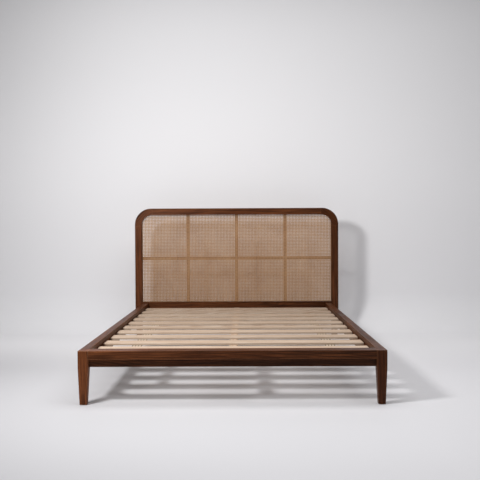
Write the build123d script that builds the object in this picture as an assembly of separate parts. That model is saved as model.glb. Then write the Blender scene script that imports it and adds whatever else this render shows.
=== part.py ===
from build123d import *
import os

# Wooden bed frame with a cane headboard. Millimetres, +Z up, +X to the right seen from the foot,
# +Y towards the headboard. The origin is on the floor, under the middle of the whole bed.

# Overall sizes
frame_width = 1620.0  # over the side rails
frame_length = 2100.0  # foot face to the headboard's front face
rail_top = 285.0  # floor to the top of the rails
headboard_overhang = 65.0  # headboard past the side rail, each side
headboard_height = 1102.0
headboard_depth = 50.0

# Rails and the aprons set back under them
rail_height = 46.0
foot_rail_depth = 70.0
side_rail_width = 47.0
apron_height = 42.0
apron_recess = 20.0
foot_apron_thickness = 27.0  # the side aprons end flush with the side rails' inner faces

# Front legs, and the lower ends of the headboard posts
leg_width = 54.0
leg_depth = 50.0
foot_width = 38.0
foot_depth = 33.0
foot_front_setback = 2.0
post_foot_width = 46.0
post_foot_depth = 40.0
glide_radius = 12.0
glide_height = 3.0
glide_pin_radius = 1.6
glide_pin_length = 14.0

# Headboard frame
post_width = 60.0
top_rail_height = 56.0
lower_rail_rise = 12.0  # lower rail's top over the side rails
corner_radius = 140.0
corner_straight = 10.0  # straight run at each end of a curved corner
lip_depth = 20.0  # wood in front of the cane
rebate_width = 12.0
cane_thickness = 2.0
batten_width = 30.0
batten_thickness = 12.0
batten_pitch = 418.0
bead_thickness = 10.0
mitre_kerf = 0.3
corner_dowel_setback = 12.0  # headboard's front face to the nearer dowel of a corner joint

# Slats, their straps and what carries them
slat_count = 10
slat_width = 100.0
slat_thickness = 12.0
slat_drop = 28.0  # rail top to slat top
slat_end_gap = 110.0
slat_side_gap = 6.0
cleat_width = 30.0
cleat_height = 30.0
cleat_end_gap = 12.0  # from the corner block and from the headboard
strap_width = 60.0
strap_thickness = 1.5
strap_offset = 560.0
beam_width = 45.0
beam_height = 45.0
centre_leg_size = 40.0
centre_leg_clearance = 20.0  # floor to the bottom of the centre leg

# Levelling foot
pad_radius = 16.0
pad_height = 8.0
stud_radius = 4.0
stud_length = 34.0
stud_running_gap = 0.1
insert_radius = 7.0
insert_length = 18.0

# Metalwork and fasteners
hanger_thickness = 2.0
hanger_reach = 40.0
hanger_flange = 24.0
hanger_top_gap = 7.3  # rails' underside to the top of a stirrup
hanger_screw_bite = 18.0
hanger_screw_shares = (0.3, 0.7)  # heights up a stirrup's flange
screw_head_ratio = 2.0  # head radius to shank radius
screw_point_ratio = 2.0  # point length to shank radius
screw_blunt_share = 0.25  # tip radius to shank radius
screw_bite = 0.7  # share of an apron's thickness that a screw goes into
batten_screw_radius = 1.5
slat_screw_radius = 2.0
slat_screw_bite = 0.4  # share of the ledge's height
cleat_screw_radius = 2.5
dowel_radius = 5.0
dowel_length = 50.0
dowel_spread = 11.0
dowel_apart = 0.5  # between the foot rail's and the side rail's dowels inside a leg
dowel_end_margin = 20.0  # from the lower rail's top to its highest dowel
thin_dowel_radius = 4.0
thin_dowel_length = 38.0
thin_dowel_spread = 10.0
bolt_radius = 4.0
bolt_length = 90.0
bolt_head_radius = 7.0
bolt_head_height = 7.0
bolt_counterbore = 10.0
bolt_counterbore_gap = 1.0
bolt_socket_radius = 3.4
bolt_socket_depth = 4.2
barrel_radius = 5.0
barrel_length = 24.0
barrel_setback = 42.0
block_reach = 110.0
block_gap = 0.3
block_blunt = 14.0  # cut off each sharp corner of the block
block_rise = 4.0  # aprons' bottoms to the block's bottom
block_screw_share = 0.68  # place of a screw along the block's reach
hanger_bolt_length = 100.0
hanger_bolt_in_leg = 42.0
washer_radius = 10.0
washer_thickness = 2.0
nut_radius = 7.0
nut_height = 6.5
leg_bolt_length = 56.0
cleat_screw_count = 8
staple_crown = 12.0
staple_width = 1.2
staple_wire = 0.8
staple_leg = 8.0
staple_spread = 15.0

# Clearances
hole_gap = 0.1  # radius of a hole over the rod in it
end_gap = 1.0  # hole depth past a rod's end
stud_end_gap = 2.0  # hole depth past the stud when the foot is screwed right in
fit_gap = 0.3
cane_gap = 0.5

# Softened edges
edge_round = 3.0
small_round = 1.5
slat_round = 1.5
glide_round = 1.0
overcut = 1.0  # a cutter's reach past the face it cuts
tolerance = 0.01

# Worked-out places
foot_face = -(frame_length + headboard_depth) / 2
head_face = foot_face + frame_length
head_back = head_face + headboard_depth
half_width = frame_width / 2
headboard_half = half_width + headboard_overhang
lower_rail_top = rail_top + lower_rail_rise
rail_inner = half_width - side_rail_width
rail_bottom = rail_top - rail_height
rail_mid = rail_top - rail_height / 2
apron_bottom = rail_bottom - apron_height
apron_mid = rail_bottom - apron_height / 2
apron_outer = half_width - apron_recess
apron_inner = rail_inner
foot_apron_back = foot_face + apron_recess + foot_apron_thickness
leg_inner = half_width - leg_width
leg_back = foot_face + leg_depth
foot_rail_back = foot_face + foot_rail_depth
slat_top = rail_top - slat_drop
slat_bottom = slat_top - slat_thickness
beam_bottom = slat_bottom - beam_height
opening_half = headboard_half - post_width
opening_top = headboard_height - top_rail_height
corner_x = headboard_half - corner_radius
opening_radius = opening_half - corner_x
outer_arc_z = headboard_height - corner_radius
inner_arc_z = opening_top - opening_radius
corner_joint_x = corner_x - corner_straight
corner_joint_z = min(outer_arc_z, inner_arc_z) - corner_straight
cane_front = head_face + lip_depth
cane_back = cane_front + cane_thickness
sides = (("left", -1), ("right", 1))

parts = {}


def block(x, y, z):
    """Box between two x values, two y values and two z values, given in any order."""
    sizes = [abs(pair[1] - pair[0]) for pair in (x, y, z)]
    middle = [(pair[0] + pair[1]) / 2 for pair in (x, y, z)]
    return Pos(*middle) * Box(*sizes)


def rod(radius, start, end):
    """Round rod from start to end."""
    axis = Vector(*end) - Vector(*start)
    place = Plane(origin=start, z_dir=axis)
    return place * Cylinder(radius, axis.length, align=(Align.CENTER, Align.CENTER, Align.MIN))


def along(start, end, distance):
    """Point at a distance past end on the line from start to end."""
    step = (Vector(*end) - Vector(*start)).normalized() * distance
    return tuple(Vector(*end) + step)


def drill(names, radius, start, end):
    """Hole for a rod through the named pieces, a little deeper than the rod at both ends."""
    cutter = rod(radius + hole_gap, along(end, start, end_gap), along(start, end, end_gap))
    cut(names, cutter)


def cut(names, cutter):
    for name in names:
        parts[name] = parts[name] - cutter


def screw(head, tip, radius, gap=0.0):
    """Countersunk screw from the flat of its head to its tip, or its hole with a gap all round."""
    shank_radius = radius + gap
    head_radius = radius * screw_head_ratio + gap
    cone_height = head_radius - shank_radius
    point_height = shank_radius * screw_point_ratio
    axis = Vector(*tip) - Vector(*head)
    low = (Align.CENTER, Align.CENTER, Align.MIN)
    cone = Cone(head_radius, shank_radius, cone_height, align=low)
    shank_length = axis.length - cone_height - point_height
    shank = Pos(0, 0, cone_height) * Cylinder(shank_radius, shank_length, align=low)
    point = Cone(shank_radius, shank_radius * screw_blunt_share, point_height, align=low)
    point = Pos(0, 0, axis.length - point_height) * point
    return Plane(origin=head, z_dir=axis) * (cone + shank + point)


def drive(group, names, head, tip, radius):
    """Add one screw to a group and cut its hole in the named pieces."""
    cut(names, screw(head, tip, radius, hole_gap))
    group.append(screw(head, tip, radius))


def prism(outline, y_front, y_back):
    """Outline drawn in x and z, given depth in y."""
    return extrude(Plane.XZ.offset(-y_back) * outline, y_back - y_front)


def rounded_section(x, y, z):
    """Rounded rectangle lying flat at a height."""
    middle = ((x[0] + x[1]) / 2, (y[0] + y[1]) / 2, z)
    return Pos(*middle) * RectangleRounded(abs(x[1] - x[0]), abs(y[1] - y[0]), edge_round)


def tapered_post(x, y, top, taper_top, foot_x, foot_y):
    """Square post with soft edges whose faces slope in below taper_top, standing on its glide."""
    sections = [
        rounded_section(foot_x, foot_y, glide_height),
        rounded_section(x, y, taper_top),
        rounded_section(x, y, top),
    ]
    return loft(sections, ruled=True)


def long_edges(solid, axis, places):
    """Edges along one axis whose middles lie at the given pairs of the other two values."""
    picked = ShapeList()
    for edge in solid.edges().filter_by(axis):
        middle = edge.center()
        for place in places:
            if all(abs(getattr(middle, key) - value) < tolerance for key, value in place.items()):
                picked.append(edge)
    return picked


def make_front_legs():
    foot_outer_setback = (leg_width - foot_width) / 2
    x = (-half_width, -leg_inner)
    foot_x = (x[0] + foot_outer_setback, x[1] - foot_outer_setback)
    y = (foot_face, leg_back)
    foot_y = (foot_face + foot_front_setback, foot_face + foot_front_setback + foot_depth)
    leg = tapered_post(x, y, rail_top, apron_bottom, foot_x, foot_y)
    leg = fillet(leg.faces().sort_by(Axis.Z)[-1].edges(), small_round)
    parts["front_leg_left"] = leg
    parts["front_leg_right"] = mirror(leg, about=Plane.YZ)


def make_rails():
    rail = block((-leg_inner, leg_inner), (foot_face, leg_back), (rail_bottom, rail_top))
    rear = block((-rail_inner, rail_inner), (leg_back, foot_rail_back), (rail_bottom, rail_top))
    rail = rail + rear
    rail = fillet(long_edges(rail, Axis.X, [{"Y": foot_face, "Z": rail_top}]), edge_round)
    small = [{"Y": foot_face, "Z": rail_bottom}, {"Y": foot_rail_back, "Z": rail_top}]
    parts["foot_rail"] = fillet(long_edges(rail, Axis.X, small), small_round)
    parts["foot_apron"] = block(
        (-leg_inner, leg_inner), (foot_face + apron_recess, foot_apron_back), (apron_bottom, rail_bottom)
    )
    for side, sign in sides:
        rail = block((sign * rail_inner, sign * half_width), (leg_back, head_face), (rail_bottom, rail_top))
        outer_top = [{"X": sign * half_width, "Z": rail_top}]
        rail = fillet(long_edges(rail, Axis.Y, outer_top), edge_round)
        small = [{"X": sign * half_width, "Z": rail_bottom}, {"X": sign * rail_inner, "Z": rail_top}]
        parts[f"side_rail_{side}"] = fillet(long_edges(rail, Axis.Y, small), small_round)
        parts[f"side_apron_{side}"] = block(
            (sign * apron_inner, sign * apron_outer), (leg_back, head_face), (apron_bottom, rail_bottom)
        )


def make_posts():
    inset = (post_width - post_foot_width) / 2
    x = (-headboard_half, -opening_half)
    foot_x = (x[0] + inset, x[1] - inset)
    foot_y = (head_back - post_foot_depth, head_back)
    post = tapered_post(x, (head_face, head_back), corner_joint_z, apron_bottom, foot_x, foot_y)
    rebate = block(
        (-opening_half - rebate_width, -opening_half + edge_round + overcut),
        (cane_front, head_back + overcut),
        (lower_rail_top - rebate_width, corner_joint_z + overcut),
    )
    post = post - rebate
    parts["headboard_post_left"] = post
    parts["headboard_post_right"] = mirror(post, about=Plane.YZ)


def corner_outline(inset):
    """Curved corner seen from the front; inset widens its inner curve."""
    inner = opening_half + inset
    under = opening_top + inset
    edges = [
        Line((headboard_half, corner_joint_z), (headboard_half, outer_arc_z)),
        CenterArc((corner_x, outer_arc_z), corner_radius, 0, 90),
        Line((corner_x, headboard_height), (corner_joint_x, headboard_height)),
        Line((corner_joint_x, headboard_height), (corner_joint_x, under)),
        Line((corner_joint_x, under), (corner_x, under)),
        CenterArc((corner_x, inner_arc_z), opening_radius + inset, 0, 90),
        Line((inner, inner_arc_z), (inner, corner_joint_z)),
        Line((inner, corner_joint_z), (headboard_half, corner_joint_z)),
    ]
    return make_face(edges)


def outer_curve_edges(corner):
    """Front and back edges along the outside of a curved corner."""
    picked = ShapeList()
    for edge in corner.edges():
        middle = edge.position_at(0.5)
        on_face = min(abs(middle.Y - head_face), abs(middle.Y - head_back)) < tolerance
        from_centre = Vector(middle.X - corner_x, 0, middle.Z - outer_arc_z).length
        on_arc = abs(from_centre - corner_radius) < tolerance
        on_side = abs(middle.X - headboard_half) < tolerance
        on_top = abs(middle.Z - headboard_height) < tolerance
        if on_face and (on_arc or on_side or on_top):
            picked.append(edge)
    return picked


def make_headboard_frame():
    corner = prism(corner_outline(0), head_face, cane_front)
    corner = corner + prism(corner_outline(rebate_width), cane_front, head_back)
    corner = fillet(outer_curve_edges(corner), edge_round)
    parts["headboard_corner_right"] = corner
    parts["headboard_corner_left"] = mirror(corner, about=Plane.YZ)
    x = (-corner_joint_x, corner_joint_x)
    top = block(x, (head_face, head_back), (opening_top, headboard_height))
    top_edges = [{"Y": head_face, "Z": headboard_height}, {"Y": head_back, "Z": headboard_height}]
    top = fillet(long_edges(top, Axis.X, top_edges), edge_round)
    parts["headboard_top_rail"] = top - block(
        (x[0] - overcut, x[1] + overcut),
        (cane_front, head_back + overcut),
        (opening_top - overcut, opening_top + rebate_width),
    )
    x = (-opening_half, opening_half)
    low = block(x, (head_face, head_back), (apron_bottom, lower_rail_top))
    parts["headboard_lower_rail"] = low - block(
        (x[0] - overcut, x[1] + overcut),
        (cane_front, head_back + overcut),
        (lower_rail_top - rebate_width, lower_rail_top + overcut),
    )


def opening_outline(grow):
    """Headboard opening seen from the front, grown all round."""
    side = opening_half + grow
    low = lower_rail_top - grow
    top = opening_top + grow
    radius = opening_radius + grow
    edges = [
        Line((-side, low), (side, low)),
        Line((side, low), (side, inner_arc_z)),
        CenterArc((corner_x, inner_arc_z), radius, 0, 90),
        Line((corner_x, top), (-corner_x, top)),
        CenterArc((-corner_x, inner_arc_z), radius, 90, 90),
        Line((-side, inner_arc_z), (-side, low)),
    ]
    return make_face(edges)


def make_cane_and_battens():
    reach = rebate_width - cane_gap
    parts["cane_panel"] = prism(opening_outline(reach), cane_front, cane_back)
    batten_back = cane_back + batten_thickness
    lap = cane_back + batten_thickness / 2
    z = (lower_rail_top - reach, opening_top + reach)
    middle_z = (lower_rail_top + opening_top) / 2
    cross_z = (middle_z - batten_width / 2, middle_z + batten_width / 2)
    cross_x = (-opening_half - reach, opening_half + reach)
    cross = block(cross_x, (cane_back, batten_back), cross_z)
    uprights = {"left": -batten_pitch, "centre": 0.0, "right": batten_pitch}
    for side, x in uprights.items():
        span = (x - batten_width / 2, x + batten_width / 2)
        upright = block(span, (cane_back, batten_back), z)
        parts[f"headboard_batten_{side}"] = upright - block(span, (lap, batten_back), cross_z)
        cross = cross - block(span, (cane_back, lap), cross_z)
    parts["headboard_cross_batten"] = cross
    ring = prism(opening_outline(reach) - opening_outline(0), cane_back, cane_back + bead_thickness)
    ring = ring - block(cross_x, (cane_back, batten_back), (cross_z[0] - fit_gap, cross_z[1] + fit_gap))
    for x in uprights.values():
        span = (x - batten_width / 2 - fit_gap, x + batten_width / 2 + fit_gap)
        ring = ring - block(span, (cane_back, batten_back), z)
    for sign in (-1, 1):
        corner = Pos(sign * opening_half, cane_back, lower_rail_top) * Rotation(0, sign * 45, 0)
        ring = ring - corner * Box(mitre_kerf, headboard_depth, headboard_depth)
    parts["cane_beads"] = ring
    screws = []
    lip_reach = cane_front - lip_depth / 2
    places = [(x, low) for x in uprights.values() for low in (z[0] + reach / 2, z[1] - reach / 2)]
    places += [(cross_x[0] + reach / 2, middle_z), (cross_x[1] - reach / 2, middle_z)]
    wood = ["cane_panel", "headboard_cross_batten", "headboard_top_rail", "headboard_lower_rail"]
    wood += ["headboard_post_left", "headboard_post_right"]
    wood += [f"headboard_batten_{side}" for side in uprights]
    for x, low in places:
        near = [name for name in wood if overlaps(name, x, low)]
        drive(screws, near, (x, batten_back, low), (x, lip_reach, low), batten_screw_radius)
    parts["batten_screws"] = Compound(children=screws)


def overlaps(name, x, z):
    """Whether a piece's box holds the point at x and z."""
    box = parts[name].bounding_box()
    return box.min.X <= x <= box.max.X and box.min.Z <= z <= box.max.Z


def slat_front_edges():
    """Front edge of each slat, evenly spread between the end gaps."""
    start = foot_rail_back + slat_end_gap
    run = head_face - slat_end_gap - start
    pitch = (run - slat_width) / (slat_count - 1)
    return [start + pitch * number for number in range(slat_count)]


def make_slats():
    reach = rail_inner - slat_side_gap
    fronts = slat_front_edges()
    for number, front in enumerate(fronts, 1):
        slat = block((-reach, reach), (front, front + slat_width), (slat_bottom, slat_top))
        ends = [{"Y": front, "Z": slat_top}, {"Y": front + slat_width, "Z": slat_top}]
        parts[f"slat_{number:02d}"] = fillet(long_edges(slat, Axis.X, ends), slat_round)
    for side, sign in sides:
        x = (sign * strap_offset - strap_width / 2, sign * strap_offset + strap_width / 2)
        parts[f"slat_strap_{side}"] = block(
            x, (fronts[0], fronts[-1] + slat_width), (slat_bottom - strap_thickness, slat_bottom)
        )


def make_staples():
    staples = []
    crown_z = slat_bottom - strap_thickness
    for number, front in enumerate(slat_front_edges(), 1):
        y = front + slat_width / 2
        for side, sign in sides:
            for spread in (-staple_spread, staple_spread):
                x = sign * strap_offset + spread
                width = (y - staple_width / 2, y + staple_width / 2)
                outer = staple_crown / 2
                tall = (crown_z, crown_z + staple_leg)
                legs = [
                    block((x + end * outer, x + end * (outer - staple_wire)), width, tall)
                    for end in (-1, 1)
                ]
                for leg in legs:
                    cut([f"slat_{number:02d}", f"slat_strap_{side}"], leg)
                crown = block((x - outer, x + outer), width, (crown_z - staple_wire, crown_z))
                staples.append(crown + legs[0] + legs[1])
    parts["strap_staples"] = Compound(children=staples)


def make_cleats():
    screws = []
    y = (foot_apron_back + block_reach - block_blunt + cleat_end_gap, head_face - cleat_end_gap)
    pitch = (y[1] - y[0]) / cleat_screw_count
    cleat_mid = slat_bottom - cleat_height / 2
    for side, sign in sides:
        inner = rail_inner - cleat_width
        cleat = block((sign * inner, sign * rail_inner), y, (slat_bottom - cleat_height, slat_bottom))
        parts[f"slat_cleat_{side}"] = cleat
        names = [f"slat_cleat_{side}", f"side_apron_{side}", f"side_rail_{side}"]
        for number in range(cleat_screw_count):
            at = y[0] + pitch * (number + 0.5)
            tip = rail_inner + (apron_outer - apron_inner) * screw_bite
            ends = [(sign * inner, at, cleat_mid), (sign * tip, at, cleat_mid)]
            drive(screws, names, *ends, cleat_screw_radius)
    parts["cleat_screws"] = Compound(children=screws)
    screws = []
    fronts = slat_front_edges()
    for number in (1, slat_count):
        at = fronts[number - 1] + slat_width / 2
        for side, sign in sides:
            x = sign * (rail_inner - cleat_width / 2)
            names = [f"slat_{number:02d}", f"slat_cleat_{side}"]
            tip = slat_bottom - cleat_height * slat_screw_bite
            drive(screws, names, (x, at, slat_top), (x, at, tip), slat_screw_radius)
    parts["slat_screws"] = Compound(children=screws)


def make_centre_beam():
    width = (-beam_width / 2, beam_width / 2)
    foot_end = foot_apron_back + fit_gap
    beam = block(width, (foot_end, head_face - fit_gap), (beam_bottom, slat_bottom))
    notch = block(
        (width[0] - overcut, width[1] + overcut),
        (foot_end - overcut, foot_rail_back + fit_gap),
        (rail_bottom - fit_gap, slat_bottom + overcut),
    )
    parts["centre_beam"] = beam - notch
    make_hanger("beam_hanger_foot", foot_apron_back, 1, "foot_apron")
    make_hanger("beam_hanger_head", head_face, -1, "headboard_lower_rail")


def make_hanger(name, wall, direction, carrier):
    """Folded steel stirrup on a wall at y, reaching along direction, with a flange each side."""
    inside = beam_width / 2 + fit_gap
    outside = inside + hanger_thickness
    base = (beam_bottom - hanger_thickness - fit_gap, beam_bottom - fit_gap)
    upright = (base[0], rail_bottom - hanger_top_gap)
    y = (wall, wall + direction * hanger_reach)
    stirrup = block((-outside, outside), y, base)
    for sign in (-1, 1):
        stirrup = stirrup + block((sign * inside, sign * outside), y, upright)
        flange_x = (sign * outside, sign * (outside + hanger_flange))
        stirrup = stirrup + block(flange_x, (wall, wall + direction * hanger_thickness), upright)
    parts[name] = stirrup
    screws = []
    for sign in (-1, 1):
        for share in hanger_screw_shares:
            x = sign * (outside + hanger_flange / 2)
            z = upright[0] + (upright[1] - upright[0]) * share
            head = (x, wall + direction * hanger_thickness, z)
            tip = (x, wall - direction * hanger_screw_bite, z)
            drive(screws, [name, carrier], head, tip, slat_screw_radius)
    parts[f"{name}_screws"] = Compound(children=screws)


def make_centre_leg():
    half = centre_leg_size / 2
    leg = block((-half, half), (-half, half), (centre_leg_clearance, beam_bottom))
    leg = fillet(leg.edges().filter_by(Axis.Z), edge_round)
    insert_top = centre_leg_clearance + insert_length
    stud_top = pad_height + stud_length
    travel = centre_leg_clearance - pad_height
    stud_hole_top = stud_top + travel + stud_end_gap
    leg_low = (0, 0, centre_leg_clearance - overcut)
    parts["centre_leg"] = leg
    cut(["centre_leg"], rod(insert_radius, leg_low, (0, 0, insert_top)))
    cut(["centre_leg"], rod(stud_radius + fit_gap, (0, 0, insert_top - overcut), (0, 0, stud_hole_top)))
    insert = rod(insert_radius, (0, 0, centre_leg_clearance), (0, 0, insert_top))
    thread = rod(stud_radius + stud_running_gap, leg_low, (0, 0, insert_top + overcut))
    parts["foot_insert"] = insert - thread
    pad = rod(pad_radius, (0, 0, 0), (0, 0, pad_height))
    pad = fillet(pad.edges().sort_by(Axis.Z)[-1], small_round)
    parts["levelling_foot"] = pad + rod(stud_radius, (0, 0, pad_height - overcut), (0, 0, stud_top))
    start = (0, 0, beam_bottom - leg_bolt_length / 2)
    end = (0, 0, beam_bottom + leg_bolt_length / 2)
    drill(["centre_leg", "centre_beam"], bolt_radius, start, end)
    parts["centre_leg_bolt"] = rod(bolt_radius, start, end)


def add_dowel(group, names, radius, start, end):
    drill(names, radius, start, end)
    group.append(rod(radius, start, end))


def make_dowels():
    dowels = []
    thick = dowel_length / 2
    thin = thin_dowel_length / 2
    rail_heights = (rail_mid - dowel_spread, rail_mid + dowel_spread)
    leg_mid = foot_face + leg_depth / 2
    foot_apron_mid = foot_face + apron_recess + foot_apron_thickness / 2
    apron_x = (apron_inner + apron_outer) / 2
    rail_x = leg_inner + thick + dowel_radius + dowel_apart
    head_mid = head_face + headboard_depth / 2
    for side, sign in sides:
        leg = f"front_leg_{side}"
        inner = sign * leg_inner
        for z in rail_heights:
            names = [leg, "foot_rail"]
            add_dowel(dowels, names, dowel_radius, (inner - thick, leg_mid, z), (inner + thick, leg_mid, z))
            names = [leg, f"side_rail_{side}"]
            x = sign * rail_x
            add_dowel(dowels, names, dowel_radius, (x, leg_back - thick, z), (x, leg_back + thick, z))
        z = apron_mid - thin_dowel_spread
        ends = [(inner - thin, foot_apron_mid, z), (inner + thin, foot_apron_mid, z)]
        add_dowel(dowels, [leg, "foot_apron"], thin_dowel_radius, *ends)
        z = apron_mid + thin_dowel_spread
        x = sign * apron_x
        apron = f"side_apron_{side}"
        add_dowel(dowels, [leg, apron], thin_dowel_radius, (x, leg_back - thin, z), (x, leg_back + thin, z))
        names = [apron, "headboard_lower_rail"]
        add_dowel(dowels, names, thin_dowel_radius, (x, head_face - thin, z), (x, head_face + thin, z))
    parts["frame_dowels"] = Compound(children=dowels)
    dowels = []
    nearer = head_face + corner_dowel_setback
    joint_y = (nearer, nearer + headboard_depth / 2)
    for side, sign in sides:
        post = f"headboard_post_{side}"
        corner = f"headboard_corner_{side}"
        inner = sign * opening_half
        for z in (apron_mid, rail_bottom, lower_rail_top - dowel_end_margin):
            names = [post, "headboard_lower_rail"]
            add_dowel(dowels, names, dowel_radius, (inner - thick, head_mid, z), (inner + thick, head_mid, z))
        solid_middle = (opening_half + rebate_width + headboard_half) / 2
        x = sign * solid_middle
        top_z = (opening_top + rebate_width + headboard_height) / 2
        joint_x = sign * corner_joint_x
        for y in joint_y:
            ends = [(x, y, corner_joint_z - thick), (x, y, corner_joint_z + thick)]
            add_dowel(dowels, [post, corner], dowel_radius, *ends)
            ends = [(joint_x - thick, y, top_z), (joint_x + thick, y, top_z)]
            add_dowel(dowels, [corner, "headboard_top_rail"], dowel_radius, *ends)
    parts["headboard_dowels"] = Compound(children=dowels)


def make_bed_bolts():
    """Bolt through the headboard's lower rail into a barrel nut in each side rail."""
    bolts = []
    nuts = []
    seat = head_back - bolt_counterbore
    nut_y = head_face - barrel_setback
    for side, sign in sides:
        x = sign * (half_width - side_rail_width / 2)
        tip = (x, seat - bolt_length, rail_mid)
        under_head = (x, seat, rail_mid)
        names = ["headboard_lower_rail", f"side_rail_{side}"]
        drill(names, bolt_radius, tip, under_head)
        outside = (x, head_back + overcut, rail_mid)
        counterbore = rod(bolt_head_radius + bolt_counterbore_gap, under_head, outside)
        cut(["headboard_lower_rail"], counterbore)
        head_top = (x, seat + bolt_head_height, rail_mid)
        head = rod(bolt_head_radius, under_head, head_top)
        socket_place = Plane(origin=head_top, z_dir=(0, -1, 0))
        socket = extrude(socket_place * RegularPolygon(bolt_socket_radius, 6), bolt_socket_depth)
        bolts.append(head + rod(bolt_radius, tip, under_head) - socket)
        nut_inner = (x - sign * barrel_length / 2, nut_y, rail_mid)
        nut_outer = (x + sign * barrel_length / 2, nut_y, rail_mid)
        mouth = (sign * (rail_inner - overcut), nut_y, rail_mid)
        cut([f"side_rail_{side}"], rod(barrel_radius + hole_gap, mouth, nut_outer))
        bolt_hole = rod(bolt_radius + hole_gap, tip, under_head)
        nuts.append(rod(barrel_radius, nut_inner, nut_outer) - bolt_hole)
    parts["bed_bolts"] = Compound(children=bolts)
    parts["barrel_nuts"] = Compound(children=nuts)


def make_corner_blocks():
    """Block across each front corner, screwed to both aprons, with a hanger bolt into the leg."""
    corner = (-apron_inner, foot_apron_back)
    outline = Polyline(
        corner, (corner[0] + block_reach, corner[1]), (corner[0], corner[1] + block_reach), close=True
    )
    low = apron_bottom + block_rise
    solid = Pos(0, 0, low) * extrude(make_face(outline), rail_bottom - low)
    leg_space = block((-half_width, -leg_inner + block_gap), (foot_face, leg_back + block_gap), (0, rail_top))
    for x, y in ((corner[0] + block_reach, corner[1]), (corner[0], corner[1] + block_reach)):
        solid = solid - Pos(x, y, 0) * Box(2 * block_blunt, 2 * block_blunt, 2 * rail_top)
    parts["corner_block_left"] = solid - leg_space
    parts["corner_block_right"] = mirror(parts["corner_block_left"], about=Plane.YZ)
    bolts = []
    washers = []
    nuts = []
    screws = []
    mid = (low + rail_bottom) / 2
    for side, sign in sides:
        name = f"corner_block_{side}"
        leg = f"front_leg_{side}"
        edge = Vector(sign * leg_inner, leg_back, mid)
        inward = Vector(-sign, 1, 0).normalized()
        start = edge - inward * hanger_bolt_in_leg
        end = start + inward * hanger_bolt_length
        face_distance = face_from_corner()
        washer_at = edge + inward * face_distance
        nut_at = washer_at + inward * washer_thickness
        drill([leg, name, "foot_apron", f"side_apron_{side}"], bolt_radius, tuple(start), tuple(end))
        bolts.append(rod(bolt_radius, tuple(start), tuple(end)))
        hole = rod(bolt_radius + hole_gap, tuple(start), tuple(end + inward))
        washers.append(rod(washer_radius, tuple(washer_at), tuple(nut_at)) - hole)
        nut = extrude(Plane(origin=nut_at, z_dir=inward) * RegularPolygon(nut_radius, 6), nut_height)
        nuts.append(nut - hole)
        reach = block_reach * block_screw_share
        depth = block_reach - reach
        x = sign * (apron_inner - reach)
        head = (x, foot_apron_back + depth, mid)
        tip = (x, foot_apron_back - foot_apron_thickness * screw_bite, mid)
        drive(screws, [name, "foot_apron"], head, tip, cleat_screw_radius)
        y = foot_apron_back + reach
        head = (sign * (apron_inner - depth), y, mid)
        tip = (sign * (apron_inner + (apron_outer - apron_inner) * screw_bite), y, mid)
        drive(screws, [name, f"side_apron_{side}"], head, tip, cleat_screw_radius)
    parts["hanger_bolts"] = Compound(children=bolts)
    parts["hanger_bolt_washers"] = Compound(children=washers)
    parts["hanger_bolt_nuts"] = Compound(children=nuts)
    parts["corner_block_screws"] = Compound(children=screws)


def face_from_corner():
    """Distance along the diagonal from the leg's inner edge to the corner block's long face."""
    along_x = apron_inner - leg_inner
    along_y = leg_back - foot_apron_back
    return (block_reach - along_x - along_y) / 2 ** 0.5


def make_glides():
    glides = []
    leg_x = half_width - leg_width / 2
    leg_y = foot_face + foot_front_setback + foot_depth / 2
    post_x = headboard_half - post_width / 2
    post_y = head_back - post_foot_depth / 2
    for side, sign in sides:
        for name, x, y in ((f"front_leg_{side}", leg_x, leg_y), (f"headboard_post_{side}", post_x, post_y)):
            at = sign * x
            disc = rod(glide_radius, (at, y, 0), (at, y, glide_height))
            disc = fillet(disc.edges().sort_by(Axis.Z)[0], glide_round)
            top = (at, y, glide_height + glide_pin_length)
            drill([name], glide_pin_radius, (at, y, glide_height), top)
            glides.append(disc + rod(glide_pin_radius, (at, y, glide_height - overcut), top))
    parts["foot_glides"] = Compound(children=glides)


def build():
    make_front_legs()
    make_rails()
    make_posts()
    make_headboard_frame()
    make_cane_and_battens()
    make_slats()
    make_staples()
    make_cleats()
    make_centre_beam()
    make_centre_leg()
    make_dowels()
    make_bed_bolts()
    make_corner_blocks()
    make_glides()


build()
os.makedirs("parts", exist_ok=True)
for name, shape in parts.items():
    export_step(shape, f"parts/{name}.step")
print(len(parts), "nodes written")
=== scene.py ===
import math

import bmesh
import bpy
from mathutils import Matrix, Vector


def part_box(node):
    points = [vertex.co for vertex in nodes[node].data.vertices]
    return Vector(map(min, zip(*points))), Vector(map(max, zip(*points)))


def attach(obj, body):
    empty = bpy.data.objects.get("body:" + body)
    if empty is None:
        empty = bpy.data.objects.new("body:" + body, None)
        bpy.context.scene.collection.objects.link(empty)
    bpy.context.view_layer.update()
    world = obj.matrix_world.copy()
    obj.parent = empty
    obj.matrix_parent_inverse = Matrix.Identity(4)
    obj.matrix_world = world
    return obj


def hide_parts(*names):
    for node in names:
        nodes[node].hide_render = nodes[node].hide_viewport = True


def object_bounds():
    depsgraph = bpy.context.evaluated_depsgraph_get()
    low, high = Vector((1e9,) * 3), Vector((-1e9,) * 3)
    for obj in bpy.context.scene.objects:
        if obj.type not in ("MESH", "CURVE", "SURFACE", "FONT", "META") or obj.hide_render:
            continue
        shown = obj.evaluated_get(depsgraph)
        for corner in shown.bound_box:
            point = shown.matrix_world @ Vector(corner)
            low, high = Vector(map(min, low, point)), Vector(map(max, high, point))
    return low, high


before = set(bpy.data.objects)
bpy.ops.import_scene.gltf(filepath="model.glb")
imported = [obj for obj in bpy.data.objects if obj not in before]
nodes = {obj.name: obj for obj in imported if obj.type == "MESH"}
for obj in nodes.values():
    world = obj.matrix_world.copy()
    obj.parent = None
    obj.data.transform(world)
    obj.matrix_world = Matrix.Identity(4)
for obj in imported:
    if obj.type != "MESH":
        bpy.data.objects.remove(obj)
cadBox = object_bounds()
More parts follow.
